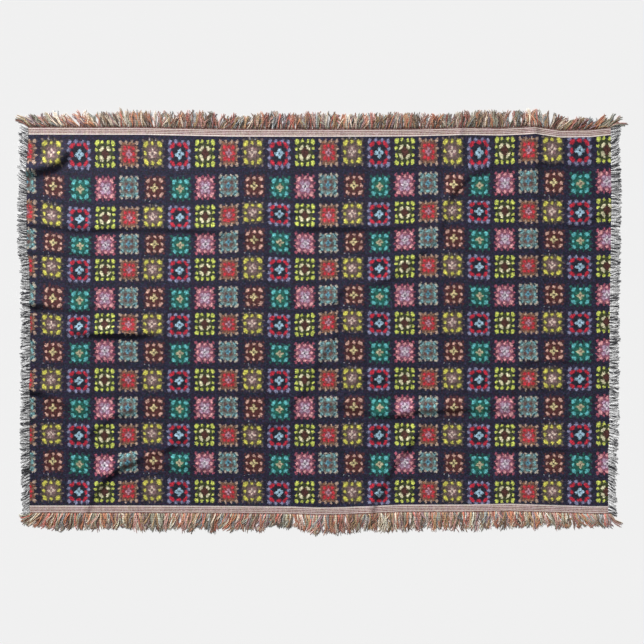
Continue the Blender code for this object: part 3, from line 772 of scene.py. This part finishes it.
STRAND_SIDES = 5
STRAND_STEPS = 8
# How far the roots of the yarns lap over the edge of a heading, and over a short edge of the panel
HEADING_ROOT_LAP = 0.0006
PANEL_ROOT_LAP = 0.001
# How much likelier the yarn whose turn it is gets
TURN_WEIGHT = 12


def strand_rings(path, radius):
    """The rings of corners of one strand along its path, tapering a little at the tip."""
    rings = []
    for i, spot in enumerate(path):
        ahead = (path[min(i + 1, len(path) - 1)] - path[max(i - 1, 0)]).normalized()
        side = ahead.cross(Vector((0, 0, 1))).normalized()
        up = side.cross(ahead)
        size = radius * (1.0 if i < len(path) - 1 else 0.6)
        rings.append([
            spot + (side * math.cos(turn) + up * math.sin(turn)) * size
            for turn in (2 * math.pi * k / STRAND_SIDES for k in range(STRAND_SIDES))
        ])
    return rings


def fringe_piece(name, strands, finish):
    """One mesh of many strands: each is (path, radius, colour)."""
    corners, faces, uvs, colours = [], [], [], []
    for path, radius, colour in strands:
        start = len(corners)
        rings = strand_rings(path, radius)
        for ring in rings:
            corners.extend(ring)
        colours.extend([colour] * (len(rings) * STRAND_SIDES))
        lengths = [0.0]
        for one, other in zip(path, path[1:]):
            lengths.append(lengths[-1] + (other - one).length)
        for i in range(len(rings) - 1):
            for k in range(STRAND_SIDES):
                a = start + i * STRAND_SIDES + k
                b = start + i * STRAND_SIDES + (k + 1) % STRAND_SIDES
                faces.append((a, b, b + STRAND_SIDES, a + STRAND_SIDES))
                left, right = k / STRAND_SIDES, (k + 1) / STRAND_SIDES
                low, high = lengths[i], lengths[i + 1]
                uvs.extend([(left, low), (right, low), (right, high), (left, high)])
        last = start + (len(rings) - 1) * STRAND_SIDES
        faces.append(tuple(start + k for k in reversed(range(STRAND_SIDES))))
        faces.append(tuple(last + k for k in range(STRAND_SIDES)))
        uvs.extend([(0.5, 0.0)] * STRAND_SIDES)
        uvs.extend([(0.5, lengths[-1])] * STRAND_SIDES)
    mesh = bpy.data.meshes.new(name)
    mesh.from_pydata(corners, [], faces)
    layer = mesh.uv_layers.new(name="strand")
    layer.data.foreach_set("uv", [value for uv in uvs for value in uv])
    tint = mesh.color_attributes.new("strand_colour", "FLOAT_COLOR", "POINT")
    tint.data.foreach_set("color", [value for colour in colours for value in colour])
    mesh.shade_smooth()
    mesh.materials.append(finish)
    piece = bpy.data.objects.new(name, mesh)
    bpy.context.scene.collection.objects.link(piece)
    return piece


def yarn_colour(chance, yarns, cast, turn, light):
    """A yarn's colour: drawn from the yarns, nudged towards the colours that lie together near it, and
    towards the one whose turn it is, then made paler or darker by its light factor, which holds painted
    light and shade as well as a random tone."""
    weights = [weight * lift for (_, weight), lift in zip(yarns, cast)]
    if turn is not None:
        weights[turn] *= TURN_WEIGHT
    colour = chance.choices([shade for shade, _ in yarns], weights)[0]
    return tuple(min(255, value * light) for value in colour)


# How the yarns of a long and of a short edge are laid, in metres but for counts, shares and degrees. Each
# yarn is a few strands, the yarns lie in clumps, and the casts are how far colours keep together there.
# The turns are the yarns that follow one another, where they do, by their places in the table of colours.
LONG_EDGE = {
    "yarns": 740, "strands": 3, "radius": 0.00064, "clump": 0.012, "pull": 0.28, "heap": 0.005,
    "curl": 0.0034, "lean": 14, "casts": (0.5, 0.8, 1.0, 1.8), "reach": (0.82, 1.01), "turns": (None,),
}
SHORT_EDGE = {
    "yarns": 420, "strands": 3, "radius": 0.0006, "clump": 0.006, "pull": 0.3, "heap": 0.0034,
    "curl": 0.0016, "lean": 8, "casts": (1.0,), "reach": (0.98, 1.2), "turns": (0, 1, 1),
}


def strand_path(side, lay, yarn, chance):
    """One strand of a yarn, from its root in the edge to its loose end."""
    level = side in ("top", "bottom")
    outward = 1 if side in ("top", "right") else -1
    root_out = HEADING_WIDTH - HEADING_ROOT_LAP if level else -PANEL_ROOT_LAP
    place = yarn["place"] + chance.gauss(0, 0.0006)
    lean = yarn["lean"] + math.radians(chance.gauss(0, 3.5))
    length = yarn["length"] * chance.uniform(0.9, 1.04)
    heap = yarn["heap"] * chance.uniform(0.85, 1.1)
    phase = yarn["phase"] + chance.gauss(0, 0.6)
    root_line = edge_line(side, place)
    radius = lay["radius"] * chance.uniform(0.85, 1.15)
    path = []
    for step in range(STRAND_STEPS + 1):
        share = step / STRAND_STEPS
        bend = lean * (0.75 + 0.4 * share)
        sway = yarn["curl"] * math.sin(phase + yarn["turns"] * 2 * math.pi * share) * share
        along = place + length * share * math.sin(bend) + yarn["towards"] * share**1.3 + sway
        out = root_line + outward * (root_out + length * share * math.cos(bend))
        x, y = (along, out) if level else (out, along)
        hump = math.sin(math.pi * min(1.0, share * 1.05 + 0.1)) ** 0.8 if share < 0.86 else 0.0
        floor = relief(x, y) * (1 - share) ** 1.5 if share < 1 else 0.0
        ripple = 0.0005 * math.sin(phase * 2 + share * 9)
        height = max(radius, floor + radius + heap * hump + ripple)
        path.append(Vector((x, y, height)) + SHIFT)
    return path, radius


def fringe_strands(side, lay, yarns):
    """Every strand of one edge's fringe, in yarns and clumps that lean and taper as the locks do."""
    chance = random.Random(f"{side} strands")
    if side in ("top", "bottom"):
        start, end = edge_line("left", -0.4 if side == "bottom" else 0.4), edge_line("right", 0.4)
    else:
        start, end = PANEL_BOTTOM - HEADING_WIDTH, PANEL_TOP + HEADING_WIDTH
    clumps = [start]
    while clumps[-1] < end:
        clumps.append(clumps[-1] + lay["clump"] * chance.uniform(0.65, 1.4))
    lengths = [chance.uniform(0.9, 1.1) for _ in clumps]
    leans = [chance.gauss(0, 4) for _ in clumps]
    casts = [[chance.choice(lay["casts"]) for _ in yarns] for _ in clumps]
    strands = []
    for i in range(lay["yarns"]):
        place = start + (end - start) * (i + chance.random()) / lay["yarns"]
        wobble = chance.gauss(0, lay["clump"] * 0.15)
        near = min(range(len(clumps)), key=lambda k: abs(clumps[k] - place - wobble))
        rise = chance.uniform(0.15, 1.0)
        lean = between(FRINGE[side], place / MM) + leans[near] + chance.gauss(0, lay["lean"])
        usual_length = between(FRINGE[side], place / MM, 2) * MM
        yarn = {
            "place": place,
            "lean": math.radians(lean),
            "length": usual_length * lengths[near] * chance.uniform(*lay["reach"]),
            "heap": rise * lay["heap"],
            "phase": chance.uniform(0, 2 * math.pi),
            "turns": chance.uniform(0.5, 1.9),
            "curl": lay["curl"] * chance.uniform(0.2, 1.6),
            "towards": (clumps[near] - place) * lay["pull"],
        }
        # Painted shade: yarns lying lower in the heap are darker; each yarn also gets a random tone, and
        # its edge's painted light and shade
        light = (0.84 + 0.2 * rise) * chance.uniform(0.9, 1.1) * EDGE_PAINTED_LIGHT[side]
        turn = lay["turns"][i % len(lay["turns"])]
        colour = yarn_colour(chance, yarns, casts[near], turn, light)
        for _ in range(lay["strands"]):
            path, radius = strand_path(side, lay, yarn, chance)
            tone = chance.uniform(0.93, 1.07)
            strands.append((path, radius, linear(*(min(255, value * tone) for value in colour))))
    return strands


def make_throw():
    """All the pieces of the throw, each riding on the root body."""
    cloth = granny_cloth()
    band = heading_cloth()
    mixed = yarn("mixed_fringe_yarn")
    two_tone = yarn("black_white_fringe_yarn")

    panel = woven_sheet("woven_panel_cloth", *PANEL_GRID, panel_top, "squares", square_place)
    panel.data.materials.append(cloth)
    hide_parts("woven_panel")
    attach(panel, "root")

    for side in ("top", "bottom"):
        spot, band_place = heading_face(side)
        made = woven_sheet(f"{side}_heading_cloth", *HEADING_GRID, spot, "band", band_place)
        made.data.materials.append(band)
        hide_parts(f"{side}_heading")
        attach(made, "root")
    for side in ("top", "bottom", "left", "right"):
        level = side in ("top", "bottom")
        if level:
            lay, yarns, finish = LONG_EDGE, MIXED_YARNS, mixed
        else:
            lay, yarns, finish = SHORT_EDGE, BLACK_WHITE_YARNS, two_tone
        made = fringe_piece(f"{side}_fringe_yarns", fringe_strands(side, lay, yarns), finish)
        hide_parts(f"{side}_fringe")
        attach(made, "root")


PHOTO_WIDTH = 1.4504
CAMERA_HEIGHT = 4.0
AIM = Vector((0.0020, 0.0001, 0.0))
FLOOR_COLOUR = (239, 239, 239)
SUN_STRENGTH = 4.15
SUN_SPREAD = 22
SUN_WAY = Vector((0.62, -1.1, -0.95))
SKY_STRENGTH = 0.215


def set_stage():
    """A pale floor, a soft light from the upper left, and the camera straight above."""
    deselect()
    bpy.ops.mesh.primitive_plane_add(size=30)
    floor = bpy.context.object
    floor.name = "floor"
    pale = Finish("pale_floor", 0.95, 0.0)
    pale.shader.inputs["Base Color"].default_value = linear(*FLOOR_COLOUR)
    floor.data.materials.append(pale.material)

    sun = bpy.data.lights.new("soft_sun", "SUN")
    sun.energy = SUN_STRENGTH
    sun.angle = math.radians(SUN_SPREAD)
    lamp = bpy.data.objects.new("soft_sun", sun)
    lamp.rotation_euler = SUN_WAY.to_track_quat("-Z", "Y").to_euler()
    bpy.context.scene.collection.objects.link(lamp)

    world = bpy.data.worlds.new("studio")
    world.use_nodes = True
    world.node_tree.nodes["Background"].inputs["Color"].default_value = (1, 1, 1, 1)
    world.node_tree.nodes["Background"].inputs["Strength"].default_value = SKY_STRENGTH
    bpy.context.scene.world = world
    bpy.context.scene.view_settings.view_transform = "Standard"

    lens = bpy.data.cameras.new("camera")
    lens.sensor_fit = "AUTO"
    lens.angle = 2 * math.atan(PHOTO_WIDTH / 2 / CAMERA_HEIGHT)
    lens.clip_end = 50
    camera = bpy.data.objects.new("camera", lens)
    camera.location = AIM + SHIFT + Vector((0, 0, CAMERA_HEIGHT))
    bpy.context.scene.collection.objects.link(camera)
    bpy.context.scene.camera = camera


set_stage()
make_throw()
